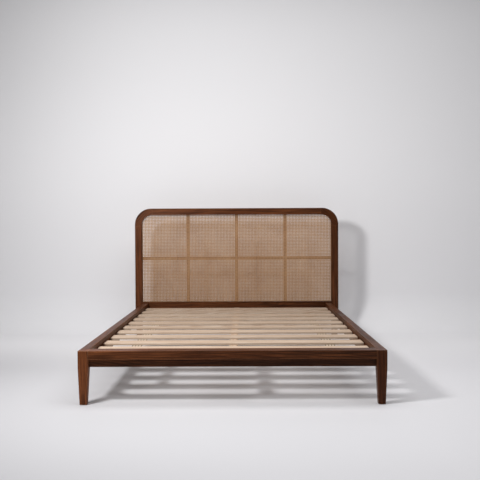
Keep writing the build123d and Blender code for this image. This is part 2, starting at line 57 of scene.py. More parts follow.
print("frame loaded,", len(nodes), "parts")


def feed(tree, node, inputs):
    # an input takes another node's output or a plain value
    for name, value in inputs.items():
        if isinstance(value, bpy.types.NodeSocket):
            tree.links.new(value, node.inputs[name])
        else:
            node.inputs[name].default_value = value
    return node


def addNode(tree, kind, settings=None, inputs=None):
    node = tree.nodes.new("ShaderNode" + kind)
    for name, value in (settings or {}).items():
        setattr(node, name, value)
    return feed(tree, node, inputs or {})


def calc(tree, operation, first, second=0.0, clamp=False):
    settings = {"operation": operation, "use_clamp": clamp}
    return addNode(tree, "Math", settings, {0: first, 1: second}).outputs[0]


def remap(tree, value, low, high, newLow=0.0, newHigh=1.0, smooth=False):
    settings = {"interpolation_type": "SMOOTHSTEP" if smooth else "LINEAR"}
    inputs = {"Value": value, "From Min": low, "From Max": high, "To Min": newLow, "To Max": newHigh}
    return addNode(tree, "MapRange", settings, inputs).outputs[0]


def noise(tree, vector, scale, detail=3.0, roughness=0.55):
    # most of it lies between 0.3 and 0.7
    inputs = {"Vector": vector, "Scale": scale, "Detail": detail, "Roughness": roughness}
    return addNode(tree, "TexNoise", None, inputs).outputs["Fac"]


def mixColour(tree, share, first, second, blend="MIX"):
    settings = {"data_type": "RGBA", "blend_type": blend}
    return addNode(tree, "Mix", settings, {0: share, 6: first, 7: second}).outputs[2]


def mapped(tree, vector, shift=(0, 0, 0), turn=(0, 0, 0), stretch=(1, 1, 1)):
    inputs = {"Vector": vector, "Location": shift, "Rotation": turn, "Scale": stretch}
    return addNode(tree, "Mapping", None, inputs).outputs[0]


def newGroup(name, inputs, outputs):
    tree = bpy.data.node_groups.new(name, "ShaderNodeTree")
    for label, kind in inputs.items():
        tree.interface.new_socket(name=label, in_out="INPUT", socket_type="NodeSocket" + kind)
    for label, kind in outputs.items():
        tree.interface.new_socket(name=label, in_out="OUTPUT", socket_type="NodeSocket" + kind)
    entry = tree.nodes.new("NodeGroupInput")
    leave = tree.nodes.new("NodeGroupOutput")
    return tree, entry.outputs, leave.inputs


def useGroup(tree, group, inputs):
    return addNode(tree, "Group", {"node_tree": group}, inputs).outputs


def newMaterial(name):
    material = bpy.data.materials.new(name)
    material.use_nodes = True
    tree = material.node_tree
    shader = tree.nodes["Principled BSDF"]
    place = addNode(tree, "TexCoord").outputs
    return material, tree, shader, place


def setBump(tree, shader, height, look):
    inputs = {"Height": height, "Strength": look["relief"], "Distance": look["reliefDepth"]}
    tree.links.new(addNode(tree, "Bump", None, inputs).outputs[0], shader.inputs["Normal"])


def only(geom, kind):
    return [item for item in geom if isinstance(item, kind)]


def finishMesh(name, shape):
    mesh = bpy.data.meshes.new(name)
    shape.to_mesh(mesh)
    shape.free()
    return mesh


def addObject(name, data):
    item = bpy.data.objects.new(name, data)
    bpy.context.scene.collection.objects.link(item)
    return item


def makePiece(name, mesh, material, body, node):
    # a finished mesh that stands in for a CAD part and moves with that part's body
    mesh.materials.clear()
    mesh.materials.append(material)
    piece = addObject(name, mesh)
    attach(piece, body)
    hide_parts(node)
    print(name, len(mesh.polygons), "faces")
    return piece


def shadeSmooth(mesh):
    for polygon in mesh.polygons:
        polygon.use_smooth = True


def colour(hexCode):
    # linear colour from a web colour
    parts = [int(hexCode[at:at + 2], 16) / 255 for at in (1, 3, 5)]
    return tuple(p / 12.92 if p < 0.04045 else ((p + 0.055) / 1.055) ** 2.4 for p in parts) + (1.0,)


# stretch of each pattern along and across the grain, per metre
woodPattern = {
    "drift": (1.6, 9, 9), "streaks": (3.5, 110, 110), "blotches": (2.2, 14, 14), "fibre": (40, 1500, 1500),
    "poreStretch": 0.055,
    "lateWood": (0.35, 0.92),  # share of a ring where the dark wood starts and ends
    "latePores": 0.35,         # how many of the pores are left in the late wood
    "poreDullness": 0.2, "fibreHeight": 0.5, "ringHeight": 0.35,
}


def makeWoodFigure():
    # growth rings round a pith that runs along X, with long streaks, pores and fine fibre
    inputs = dict.fromkeys(("Ring Spacing", "Waviness", "Pore Size"), "Float")
    inputs["Vector"] = "Vector"
    outputs = dict.fromkeys(("Rings", "Streaks", "Blotches", "Pores", "Fibre"), "Float")
    tree, entry, leave = newGroup("woodFigure", inputs, outputs)
    vector = entry["Vector"]
    drift = noise(tree, mapped(tree, vector, stretch=woodPattern["drift"]), 1.0, 2.0)
    drift = calc(tree, "MULTIPLY", calc(tree, "SUBTRACT", drift, 0.5), entry["Waviness"])
    split = addNode(tree, "SeparateXYZ", None, {0: vector}).outputs
    across = calc(tree, "ADD", split[1], drift)
    flat = addNode(tree, "CombineXYZ", None, {0: 0.0, 1: across, 2: split[2]}).outputs[0]
    radius = addNode(tree, "VectorMath", {"operation": "LENGTH"}, {0: flat}).outputs["Value"]
    turns = calc(tree, "DIVIDE", radius, entry["Ring Spacing"])
    step = calc(tree, "FRACT", turns)
    start, end = woodPattern["lateWood"]
    late = remap(tree, step, start, end, smooth=True)  # slow rise to the dark late wood
    early = remap(tree, step, end, 1.0, 1.0, 0.0, smooth=True)
    rings = calc(tree, "MULTIPLY", late, early)
    tree.links.new(rings, leave["Rings"])
    streaks = noise(tree, mapped(tree, vector, stretch=woodPattern["streaks"]), 1.0, 4.0, 0.6)
    tree.links.new(remap(tree, streaks, 0.32, 0.7), leave["Streaks"])
    blotches = noise(tree, mapped(tree, vector, stretch=woodPattern["blotches"]), 1.0, 3.0)
    tree.links.new(remap(tree, blotches, 0.3, 0.72), leave["Blotches"])
    poreScale = calc(tree, "DIVIDE", 1.0, entry["Pore Size"])
    lengthened = mapped(tree, vector, stretch=(woodPattern["poreStretch"], 1, 1))
    pores = noise(tree, lengthened, poreScale, 1.0, 0.4)
    pores = remap(tree, pores, 0.62, 0.72, smooth=True)
    openness = remap(tree, rings, 0.0, 0.8, 1.0, woodPattern["latePores"])
    tree.links.new(calc(tree, "MULTIPLY", pores, openness), leave["Pores"])
    fibre = noise(tree, mapped(tree, vector, stretch=woodPattern["fibre"]), 1.0, 2.0)
    tree.links.new(fibre, leave["Fibre"])
    return tree


# a surface counts as an edge as its normal turns from flat to sharp, seen by how much it agrees
wearAndHighlightPattern = {"flat": 0.995, "sharp": 0.86, "patches": 45.0, "faintest": 0.35, "samples": 6}


def makeEdgeWearAndHighlight():
    # 1 on a rounded or sharp outside edge, 0 on the flats, broken up by a fine noise; the mask for painted
    # edge highlights and wear
    tree, entry, leave = newGroup("edgeWearAndHighlight", {"Vector": "Vector", "Radius": "Float"}, {"WearAndHighlight": "Float"})
    samples = {"samples": wearAndHighlightPattern["samples"]}
    bent = addNode(tree, "Bevel", samples, {"Radius": entry["Radius"]}).outputs[0]
    facing = addNode(tree, "NewGeometry").outputs["True Normal"]
    same = addNode(tree, "VectorMath", {"operation": "DOT_PRODUCT"}, {0: bent, 1: facing}).outputs["Value"]
    edge = remap(tree, same, wearAndHighlightPattern["flat"], wearAndHighlightPattern["sharp"])
    patchy = noise(tree, entry["Vector"], wearAndHighlightPattern["patches"], 4.0)
    patchy = remap(tree, patchy, 0.3, 0.65, wearAndHighlightPattern["faintest"], 1.0)
    tree.links.new(calc(tree, "MULTIPLY", edge, patchy), leave["WearAndHighlight"])
    return tree


handlingPattern = {"cloud": 6.0, "fine": 90.0, "cloudShare": 0.75}


def makeHandling():
    # cloudy change of sheen where a surface has been wiped and touched
    tree, entry, leave = newGroup("handling", {"Vector": "Vector", "Low": "Float", "High": "Float"},
                                  {"Roughness": "Float"})
    share = handlingPattern["cloudShare"]
    cloud = noise(tree, entry["Vector"], handlingPattern["cloud"], 4.0, 0.6)
    fine = noise(tree, entry["Vector"], handlingPattern["fine"], 2.0)
    cloud = calc(tree, "MULTIPLY", cloud, share)
    fine = calc(tree, "MULTIPLY", fine, 1 - share)
    rough = remap(tree, calc(tree, "ADD", cloud, fine), 0.3, 0.7, entry["Low"], entry["High"])
    tree.links.new(rough, leave["Roughness"])
    return tree


metalPattern = {"toolLines": (300, 300, 2500), "spots": 140.0}


def makeTurnedMetal():
    # hair-fine tool lines and dull spots on small steel and brass parts
    tree, entry, leave = newGroup("turnedMetal", {"Vector": "Vector", "Low": "Float", "High": "Float"},
                                  {"Roughness": "Float", "Tarnish": "Float", "Height": "Float"})
    lines = noise(tree, mapped(tree, entry["Vector"], stretch=metalPattern["toolLines"]), 1.0, 2.0)
    spots = noise(tree, entry["Vector"], metalPattern["spots"], 3.0)
    tree.links.new(remap(tree, lines, 0.3, 0.7, entry["Low"], entry["High"]), leave["Roughness"])
    tree.links.new(remap(tree, spots, 0.5, 0.75), leave["Tarnish"])
    tree.links.new(lines, leave["Height"])
    return tree


woodFigure = makeWoodFigure()
edgeWearAndHighlight = makeEdgeWearAndHighlight()
handling = makeHandling()
turnedMetal = makeTurnedMetal()
print("shared effects ready")


# how each kind of wood looks: body colours, ring spacing and pore size in metres, shares of each
# mark, roughness from low to high, and the depth of the relief in metres
walnutLook = {
    "light": colour("#8c5330"), "middle": colour("#5a3019"), "dark": colour("#220f07"),
    "pore": colour("#180a04"), "wornAndLit": colour("#b98a68"),
    "rings": 0.0042, "wave": 0.030, "pores": 0.0009, "ringShare": 0.45, "streakShare": 0.85,
    "poreShare": 0.6, "wearAndHighlightShare": 0.55, "wearAndHighlightRadius": 0.004,
    "sheen": (0.30, 0.44), "gloss": 0.1, "relief": 0.18, "reliefDepth": 0.0004, "knotShare": 0.75,
}
headboardLook = dict(walnutLook, wearAndHighlightShare=0.3)
ledgeLook = dict(walnutLook, light=colour("#6e4630"), middle=colour("#4c2c1b"), sheen=(0.5, 0.65))
battenLook = dict(ledgeLook, light=colour("#9f7156"), middle=colour("#7b533b"), dark=colour("#442a1b"))
pineLook = {
    "light": colour("#ddcbb8"), "middle": colour("#cdb6a0"), "dark": colour("#a17f63"),
    "pore": colour("#8d684b"), "wornAndLit": colour("#e6d6c6"),
    "rings": 0.0060, "wave": 0.035, "pores": 0.0012, "ringShare": 0.6, "streakShare": 0.5,
    "poreShare": 0.15, "wearAndHighlightShare": 0.12, "wearAndHighlightRadius": 0.002,
    "sheen": (0.52, 0.68), "gloss": 0.25, "relief": 0.22, "reliefDepth": 0.0004, "knotShare": 0.75,
}
beechLook = dict(pineLook, light=colour("#dcb78f"), middle=colour("#c99c72"), dark=colour("#a87b52"),
                 rings=0.0035, ringShare=0.25, poreShare=0.5, pores=0.0006)

# turn that lays a piece's grain along X, by the way the piece runs
grainTurn = {
    "x": (0.0, 0.0, 0.0),
    "y": (0.0, 0.0, math.radians(-90)),
    "z": (0.0, math.radians(90), 0.0),
    "rising": (0.0, math.radians(45), 0.0),
    "falling": (0.0, math.radians(-45), 0.0),
}
pithTilt = (0, math.radians(1.6), math.radians(-1.12))  # boards are never sawn quite true to the pith
paintedShadeReach = 0.85  # a board's tone and painted shade change this far to each side of the bed's middle


def boardShift(board):
    # each board is cut from another place in the trunk
    return 0.37 * board, 0.055 + 0.013 * (board % 5), 0.085 - 0.021 * (board % 4)


def makeWood(name, look, grain, board=0, knots=0.0, toneAndShade=(1.0, 1.0)):
    material, tree, shader, place = newMaterial(name)
    straight = mapped(tree, place["Object"], turn=grainTurn[grain])
    lengthwise = mapped(tree, straight, shift=boardShift(board), turn=pithTilt)
    inputs = {"Vector": lengthwise, "Ring Spacing": look["rings"], "Waviness": look["wave"],
              "Pore Size": look["pores"]}
    figure = useGroup(tree, woodFigure, inputs)
    rings = figure["Rings"]
    body = mixColour(tree, figure["Blotches"], look["middle"], look["light"])
    streaked = calc(tree, "MULTIPLY", figure["Streaks"], look["streakShare"])
    body = mixColour(tree, streaked, body, look["dark"])
    body = mixColour(tree, calc(tree, "MULTIPLY", rings, look["ringShare"]), body, look["dark"])
    if knots:
        knotMask = addKnots(tree, lengthwise, knots)
        body = mixColour(tree, calc(tree, "MULTIPLY", knotMask, look["knotShare"]), body, look["pore"])
    body = mixColour(tree, calc(tree, "MULTIPLY", figure["Pores"], look["poreShare"]), body, look["pore"])
    # lighter edges: painted highlight where the arrises would catch the light, partly wear of the finish
    wearAndHighlight = useGroup(tree, edgeWearAndHighlight, {"Vector": place["Object"], "Radius": look["wearAndHighlightRadius"]})["WearAndHighlight"]
    body = mixColour(tree, calc(tree, "MULTIPLY", wearAndHighlight, look["wearAndHighlightShare"]), body, look["wornAndLit"])
    # painted light and shade: each board is multiplied lighter towards the left, where the key lamp is, and
    # darker towards the right
    across = addNode(tree, "SeparateXYZ", None, {0: place["Object"]}).outputs[0]
    share = remap(tree, across, -paintedShadeReach, paintedShadeReach, toneAndShade[0], toneAndShade[1])
    toneAndShadeFactor = addNode(tree, "CombineXYZ", None, {0: share, 1: share, 2: share}).outputs[0]
    body = mixColour(tree, 1.0, body, toneAndShadeFactor, "MULTIPLY")
    tree.links.new(body, shader.inputs["Base Color"])
    shader.inputs["Specular IOR Level"].default_value = look["gloss"]
    low, high = look["sheen"]
    rough = useGroup(tree, handling, {"Vector": place["Object"], "Low": low, "High": high})["Roughness"]
    dullPores = calc(tree, "MULTIPLY", figure["Pores"], woodPattern["poreDullness"])
    tree.links.new(calc(tree, "ADD", rough, dullPores, clamp=True), shader.inputs["Roughness"])
    fibres = calc(tree, "MULTIPLY", figure["Fibre"], woodPattern["fibreHeight"])
    ridges = calc(tree, "MULTIPLY", rings, woodPattern["ringHeight"])
    height = calc(tree, "ADD", calc(tree, "SUBTRACT", fibres, figure["Pores"]), ridges)
    setBump(tree, shader, height, look)
    return material


knotShape = {"stretch": (2.1, 6.0, 6.0), "core": 0.03, "edge": 0.11}


def addKnots(tree, lengthwise, amount):
    # a few small dark knots, longer along the board
    spread = mapped(tree, lengthwise, stretch=knotShape["stretch"])
    inputs = {"Vector": spread, "Scale": 1.0, "Randomness": 1.0}
    cell = addNode(tree, "TexVoronoi", {"feature": "F1"}, inputs)
    core, edge = knotShape["core"], knotShape["edge"]
    near = remap(tree, cell.outputs["Distance"], core, edge, 1.0, 0.0, smooth=True)
    chance = addNode(tree, "SeparateColor", None, {0: cell.outputs["Color"]}).outputs[0]
    return calc(tree, "MULTIPLY", near, calc(tree, "GREATER_THAN", chance, 1.0 - amount))


def paint(names, material):
    for name in names:
        nodes[name].data.materials.clear()
        nodes[name].data.materials.append(material)


# pieces by the way their grain runs
walnutPieces = {
    "x": ["foot_rail", "foot_apron", "headboard_top_rail", "headboard_lower_rail"],
    "y": ["side_rail_left", "side_apron_left", "side_rail_right", "side_apron_right"],
    "z": ["front_leg_left", "front_leg_right", "headboard_post_left", "headboard_post_right"],
    "rising": ["headboard_corner_left"],
    "falling": ["headboard_corner_right"],
}
# how much lighter or darker than the look a board is, at its left and at its right: partly its own tone,
# mostly painted light towards the key lamp on the left and painted shade to the right; the bright left leg
# also holds a painted sheen
boardToneAndShade = {
    "front_leg_left": (1.75, 1.75), "front_leg_right": (0.9, 0.9),
    "headboard_post_left": (1.05, 1.05), "headboard_post_right": (0.6, 0.6),
    "headboard_corner_left": (1.05, 1.0), "headboard_corner_right": (0.65, 0.6),
    "headboard_top_rail": (1.05, 0.8), "headboard_lower_rail": (0.9, 0.65),
    "foot_rail": (1.25, 0.6), "foot_apron": (0.8, 0.5),
}
# painted light on the left and painted shade on the right, for the boards not listed
otherToneAndShade = (1.1, 0.75)
plainTone = (1.0, 1.0)
pineTone = (0.92, 0.92)
beamKnots = 0.12
slatKnots = 0.1
# each slat's own tone, with painted shade that darkens the slats towards the back and, below, towards their
# right ends
slatToneAndShade = (1.04, 0.99, 0.93, 0.97, 0.92, 0.94, 0.89, 0.9, 0.84, 0.86)
slatPaintedShade = 0.94  # a slat's right end against its left

# what is made of wood: name of the material, its look, grain, part, share of knots, tone and painted shade
woodList = []
for grain, names in walnutPieces.items():
    for name in names:
        look = headboardLook if name.startswith("headboard") else walnutLook
        woodList.append(("walnut", look, grain, name, 0.0, boardToneAndShade.get(name, otherToneAndShade)))
for name in ("slat_cleat_left", "slat_cleat_right"):
    woodList.append(("ledge", ledgeLook, "y", name, 0.0, plainTone))
for name, grain in (("headboard_cross_batten", "x"), ("headboard_batten_left", "z"),
                    ("headboard_batten_centre", "z"), ("headboard_batten_right", "z"), ("cane_beads", "x")):
    woodList.append(("batten", battenLook, grain, name, 0.0, plainTone))
for name, grain in (("centre_beam", "y"), ("centre_leg", "z")):
    woodList.append(("pine", pineLook, grain, name, beamKnots, pineTone))
for name, grain in (("corner_block_left", "x"), ("corner_block_right", "x"),
                    ("frame_dowels", "x"), ("headboard_dowels", "z")):
    woodList.append(("beech", beechLook, grain, name, 0.0, plainTone))
for number, toneAndShade in enumerate(slatToneAndShade, 1):
    woodList.append(("pine", pineLook, "x", f"slat_{number:02d}", slatKnots, (toneAndShade, toneAndShade * slatPaintedShade)))
for board, (kind, look, grain, name, knots, toneAndShade) in enumerate(woodList):
    paint([name], makeWood(f"{kind}_{name}", look, grain, board, knots, toneAndShade))
print("wood ready,", len(woodList), "boards")


steelLook = {
    "body": colour("#b8b9bb"), "dull": colour("#77797c"),
    "roughness": (0.22, 0.42), "relief": 0.1, "reliefDepth": 0.0001,
}
darkSteelLook = dict(steelLook, body=colour("#5c5d60"), dull=colour("#2e2f31"), roughness=(0.35, 0.55))
brassLook = dict(steelLook, body=colour("#c9a350"), dull=colour("#7d6231"), roughness=(0.25, 0.4))


def makeMetal(name, look):
    material, tree, shader, place = newMaterial(name)
    low, high = look["roughness"]
    lathe = useGroup(tree, turnedMetal, {"Vector": place["Object"], "Low": low, "High": high})
    body = mixColour(tree, lathe["Tarnish"], look["body"], look["dull"])
    tree.links.new(body, shader.inputs["Base Color"])
    tree.links.new(lathe["Roughness"], shader.inputs["Roughness"])
    shader.inputs["Metallic"].default_value = 1.0
    setBump(tree, shader, lathe["Height"], look)
    return material


plasticLook = {
    "body": colour("#2b2724"), "scuffed": colour("#6a625b"),
    "scuffs": 260.0, "scuffShare": 0.5, "mouldGrain": 1800.0,
    "roughness": (0.42, 0.6), "relief": 0.12, "reliefDepth": 0.0002,
}


def makePlastic(name, look):
    material, tree, shader, place = newMaterial(name)
    scuffs = remap(tree, noise(tree, place["Object"], look["scuffs"], 4.0, 0.65), 0.52, 0.75)
    scuffed = calc(tree, "MULTIPLY", scuffs, look["scuffShare"])
    body = mixColour(tree, scuffed, look["body"], look["scuffed"])
    tree.links.new(body, shader.inputs["Base Color"])
    low, high = look["roughness"]
    rough = useGroup(tree, handling, {"Vector": place["Object"], "Low": low, "High": high})["Roughness"]
    tree.links.new(rough, shader.inputs["Roughness"])
    setBump(tree, shader, noise(tree, place["Object"], look["mouldGrain"], 2.0), look)
    return material


steel = makeMetal("zinc_plated_steel", steelLook)
darkSteel = makeMetal("blackened_steel", darkSteelLook)
brass = makeMetal("brass", brassLook)
plastic = makePlastic("nylon", plasticLook)
paint(["bed_bolts", "barrel_nuts", "hanger_bolts", "hanger_bolt_nuts", "hanger_bolt_washers",
       "centre_leg_bolt", "strap_staples"], steel)
paint(["beam_hanger_foot", "beam_hanger_head"], darkSteel)
paint(["foot_insert"], brass)
paint(["foot_glides"], plastic)
print("metal and plastic ready")


caneWeave = {
    "mesh": 0.0127,          # from one strand pair to the next
    "strandWidth": 0.0025,
    "strandThickness": 0.00045,
    "crown": 0.45,           # flat part of a strand's front, a share of its width
    "pairGap": 0.0004,
    "pairLift": 0.00025,     # how far a strand of a pair rises over the other pair
    "slantLift": 0.00055,    # how far a slanting strand stands off the pairs
    "pieces": 5,
    "mergeWithin": 0.00005,
    "cornerCuts": 12,        # flats that make a round corner
    "edgeMargin": 0.0005,
    "cornerRise": 0.014,     # the round corner starts this far above the corner piece's end
}
caneLook = {
    "light": colour("#cca278"), "middle": colour("#b88c62"), "dark": colour("#8f6641"),
    "patches": 9.0, "strands": 130.0, "strandShare": 0.45, "rimShadeShare": 0.5, "fibre": (3, 60, 1),
    "roughness": (0.38, 0.55), "relief": 0.25, "reliefDepth": 0.0001,
}


def makeCane(name, look):
    material, tree, shader, place = newMaterial(name)
    across = addNode(tree, "SeparateXYZ", None, {0: place["UV"]}).outputs[1]
    patches = remap(tree, noise(tree, place["Object"], look["patches"], 3.0), 0.3, 0.7)
    strands = remap(tree, noise(tree, place["Object"], look["strands"], 2.0), 0.3, 0.7)
    body = mixColour(tree, patches, look["middle"], look["light"])
    body = mixColour(tree, calc(tree, "MULTIPLY", strands, look["strandShare"]), body, look["dark"])
    # painted shade: each strand darkens towards its edges, where its rounded face turns away from the light
    offMiddle = calc(tree, "ABSOLUTE", calc(tree, "SUBTRACT", across, 0.5))
    rim = remap(tree, offMiddle, 0.3, 0.5, smooth=True)
    body = mixColour(tree, calc(tree, "MULTIPLY", rim, look["rimShadeShare"]), body, look["dark"])
    tree.links.new(body, shader.inputs["Base Color"])
    fibre = noise(tree, mapped(tree, place["UV"], stretch=look["fibre"]), 1.0, 2.0)
    low, high = look["roughness"]
    tree.links.new(remap(tree, fibre, 0.3, 0.7, low, high), shader.inputs["Roughness"])
    setBump(tree, shader, fibre, look)
    return material


def layStrand(weave, uvLayer, points):
    # flat ribbon with a crowned front, extruded from one point to the next
    half = caneWeave["strandWidth"] / 2
    thick = caneWeave["strandThickness"] / 2
    along = Vector(points[-1]) - Vector(points[0])
    across = Vector((along.z, 0, -along.x)).normalized()
    crown = half * caneWeave["crown"]
    section = ((-half, thick), (-crown, -thick), (crown, -thick), (half, thick))
    corners = [across * out + Vector((0, depth, 0)) for out, depth in section]
    ring = [weave.verts.new(Vector(points[0]) + corner) for corner in corners]
    edges = [weave.edges.new((ring[at], ring[(at + 1) % 4])) for at in range(4)]
    run = 0.0
    for start, end in zip(points, points[1:]):
        step = Vector(end) - Vector(start)
        grown = bmesh.ops.extrude_edge_only(weave, edges=edges)["geom"]
        fresh = only(grown, bmesh.types.BMVert)
        bmesh.ops.translate(weave, verts=fresh, vec=step)
        edges = [edge for edge in only(grown, bmesh.types.BMEdge)
                 if all(vertex in fresh for vertex in edge.verts)]
        for face in only(grown, bmesh.types.BMFace):
            for loop in face.loops:
                offset = loop.vert.co - Vector(start)
                loop[uvLayer].uv = (run + (1.0 if loop.vert in fresh else 0.0),
                                    0.5 + offset.dot(across) / (2 * half))
        run += 1.0


def makeCaneTile(origin):
    # one repeat of the weave: a pair up, a pair across, and the two slants
    mesh = caneWeave["mesh"]
    near = (caneWeave["strandWidth"] + caneWeave["pairGap"]) / 2
    pair, slant = caneWeave["pairLift"], caneWeave["slantLift"]
    weave = bmesh.new()
    uvLayer = weave.loops.layers.uv.new("strand")

    def lay(*points):
        layStrand(weave, uvLayer, [origin + Vector(point) for point in points])

    for side, lift in ((-near, 1), (near, -1)):
        lay((side, lift * pair, -near), (side, -lift * pair, near), (side, lift * pair, mesh - near))
        lay((-near, -lift * pair, side), (near, lift * pair, side), (mesh - near, -lift * pair, side))
    middle = mesh / 2
    lay((0, slant, middle), (middle, -slant, mesh), (mesh, slant, mesh + middle))
    lay((0, -slant, middle), (middle, slant, 0), (mesh, -slant, -middle))
    return finishMesh("cane_tile", weave)


def repeated(mesh, counts):
    # the tile laid side by side, along X then along Z
    tile = addObject("cane_tile", mesh)
    for axis, count in ((0, counts[0]), (2, counts[1])):
        row = tile.modifiers.new("row", "ARRAY")
        row.use_relative_offset = False
        row.use_constant_offset = True
        row.constant_offset_displace = [caneWeave["mesh"] if at == axis else 0.0 for at in range(3)]
        row.count = count
        row.use_merge_vertices = True
        row.merge_threshold = caneWeave["mergeWithin"]
    bpy.context.view_layer.update()
    laid = bpy.data.meshes.new_from_object(tile.evaluated_get(bpy.context.evaluated_depsgraph_get()))
    bpy.data.objects.remove(tile)
    return laid


def cutAway(shape, faces, place, outward):
    # everything beyond the plane goes, and the cut strands are closed again
    edges = dict.fromkeys(edge for face in faces for edge in face.edges)
    points = dict.fromkeys(vertex for face in faces for vertex in face.verts)
    cut = bmesh.ops.bisect_plane(shape, geom=list(points) + list(edges) + list(faces), dist=1e-7,
                                 plane_co=place, plane_no=outward, clear_outer=True)["geom_cut"]
    rims = [edge for edge in only(cut, bmesh.types.BMEdge) if edge.is_boundary]
    bmesh.ops.holes_fill(shape, edges=rims, sides=0)


def trimCane(mesh, low, high, radius):
    # cut the weave to the rebate: straight sides, and round top corners as short flats
    cane = bmesh.new()
    cane.from_mesh(mesh)
    bmesh.ops.holes_fill(cane, edges=[edge for edge in cane.edges if edge.is_boundary], sides=0)
    for place, outward in ((low, (-1, 0, 0)), (high, (1, 0, 0)), (low, (0, 0, -1)), (high, (0, 0, 1))):
        cutAway(cane, cane.faces[:], place, outward)
    for side, middle in ((-1, low.x + radius), (1, high.x - radius)):
        centre = Vector((middle, 0, high.z - radius))
        for step in range(1, caneWeave["cornerCuts"]):
            angle = math.radians(90) * step / caneWeave["cornerCuts"]
            outward = Vector((side * math.cos(angle), 0, math.sin(angle)))
            corner = [face for face in cane.faces if any(
                vertex.co.z > centre.z and (vertex.co.x - middle) * side > 0 for vertex in face.verts)]
            if corner:
                cutAway(cane, corner, centre + outward * radius, outward)
    bmesh.ops.recalc_face_normals(cane, faces=cane.faces[:])
    cane.to_mesh(mesh)
    cane.free()
    shadeSmooth(mesh)


def makeCaneSheet():
    low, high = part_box("cane_panel")
    mesh = caneWeave["mesh"]
    margin = Vector((caneWeave["edgeMargin"], 0, caneWeave["edgeMargin"]))
    inner = (low + margin, high - margin)
    across = math.ceil((high.x - low.x) / mesh / caneWeave["pieces"]) * caneWeave["pieces"]
    up = math.ceil((high.z - low.z) / mesh) + 1
    cornerLow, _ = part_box("headboard_corner_right")
    radius = high.z - cornerLow.z - caneWeave["cornerRise"]
    material = makeCane("cane", caneLook)
    share = across // caneWeave["pieces"]
    for number in range(caneWeave["pieces"]):
        startX = (low.x + high.x) / 2 + (number * share - across / 2) * mesh
        origin = Vector((startX + mesh / 2, (low.y + high.y) / 2, (low.z + high.z) / 2 - up * mesh / 2))
        laid = repeated(makeCaneTile(origin), (share, up))
        trimCane(laid, inner[0], inner[1], radius)
        makePiece(f"cane_weave_{number + 1}", laid, material, "frame", "cane_panel")


makeCaneSheet()


webbing = {
    "thickness": 0.0011,
    "acrossSteps": 20, "alongStep": 0.0024,
    "sag": 0.00015,          # between one slat and the next
    "ribs": 0.00006, "ribSteps": 4,
    "edgeShare": 0.06, "edgeDrop": 0.00015,  # the edges fall away over this share of the width
    "clearance": 0.00002,    # under the slats
    "stripes": (0.017, 0.0085, 0.0038),      # middle of a pair, half the pair's spacing, half a stripe
    "pick": 0.0016, "warp": 0.0024, "slant": 0.35, "pickShare": 0.5, "warpShare": 0.35,
}
webbingLook = {
    "body": colour("#cfc6b8"), "shade": colour("#a89c8b"), "stripe": colour("#2e2926"),
    "fuzz": (900, 250, 900), "fuzzHeight": 0.5, "dust": 7.0, "dustShare": 0.35,
    "roughness": (0.78, 0.92), "gloss": 0.2, "relief": 0.5, "reliefDepth": 0.0003,
}


def makeWebbingCloth(name, look, middle):
    # pale woven band with dark threads along it
    material, tree, shader, place = newMaterial(name)
    spread = addNode(tree, "SeparateXYZ", None, {0: place["Object"]}).outputs
    across = calc(tree, "SUBTRACT", calc(tree, "ABSOLUTE", spread[0]), middle)
    pair, apart, width = webbing["stripes"]
    fromHalf = calc(tree, "ABSOLUTE", calc(tree, "SUBTRACT", calc(tree, "ABSOLUTE", across), pair))
    fromStripe = calc(tree, "ABSOLUTE", calc(tree, "SUBTRACT", fromHalf, apart))
    stripe = remap(tree, fromStripe, width, width * 0.85, smooth=True)
    turn = 2 * math.pi
    warp = calc(tree, "SINE", calc(tree, "MULTIPLY", across, turn / webbing["warp"]))
    bend = calc(tree, "MULTIPLY", warp, webbing["pick"] * webbing["slant"])
    slant = calc(tree, "ADD", spread[1], bend)
    pick = calc(tree, "SINE", calc(tree, "MULTIPLY", slant, turn / webbing["pick"]))
    picks = calc(tree, "MULTIPLY", pick, webbing["pickShare"])
    weave = calc(tree, "ADD", picks, calc(tree, "MULTIPLY", warp, webbing["warpShare"]))
    fuzz = noise(tree, mapped(tree, place["Object"], stretch=look["fuzz"]), 1.0, 3.0)
    body = mixColour(tree, remap(tree, weave, -0.8, 0.5), look["shade"], look["body"])
    frayed = calc(tree, "MULTIPLY", stripe, remap(tree, fuzz, 0.3, 0.6, 0.7, 1.0))
    body = mixColour(tree, frayed, body, look["stripe"])
    dust = noise(tree, place["Object"], look["dust"], 4.0)
    dust = remap(tree, dust, 0.4, 0.7, 0.0, look["dustShare"])
    body = mixColour(tree, dust, body, look["shade"])
    tree.links.new(body, shader.inputs["Base Color"])
    low, high = look["roughness"]
    tree.links.new(remap(tree, fuzz, 0.3, 0.7, low, high), shader.inputs["Roughness"])
    shader.inputs["Specular IOR Level"].default_value = look["gloss"]
    height = calc(tree, "ADD", weave, calc(tree, "MULTIPLY", fuzz, look["fuzzHeight"]))
    setBump(tree, shader, height, look)
    return material


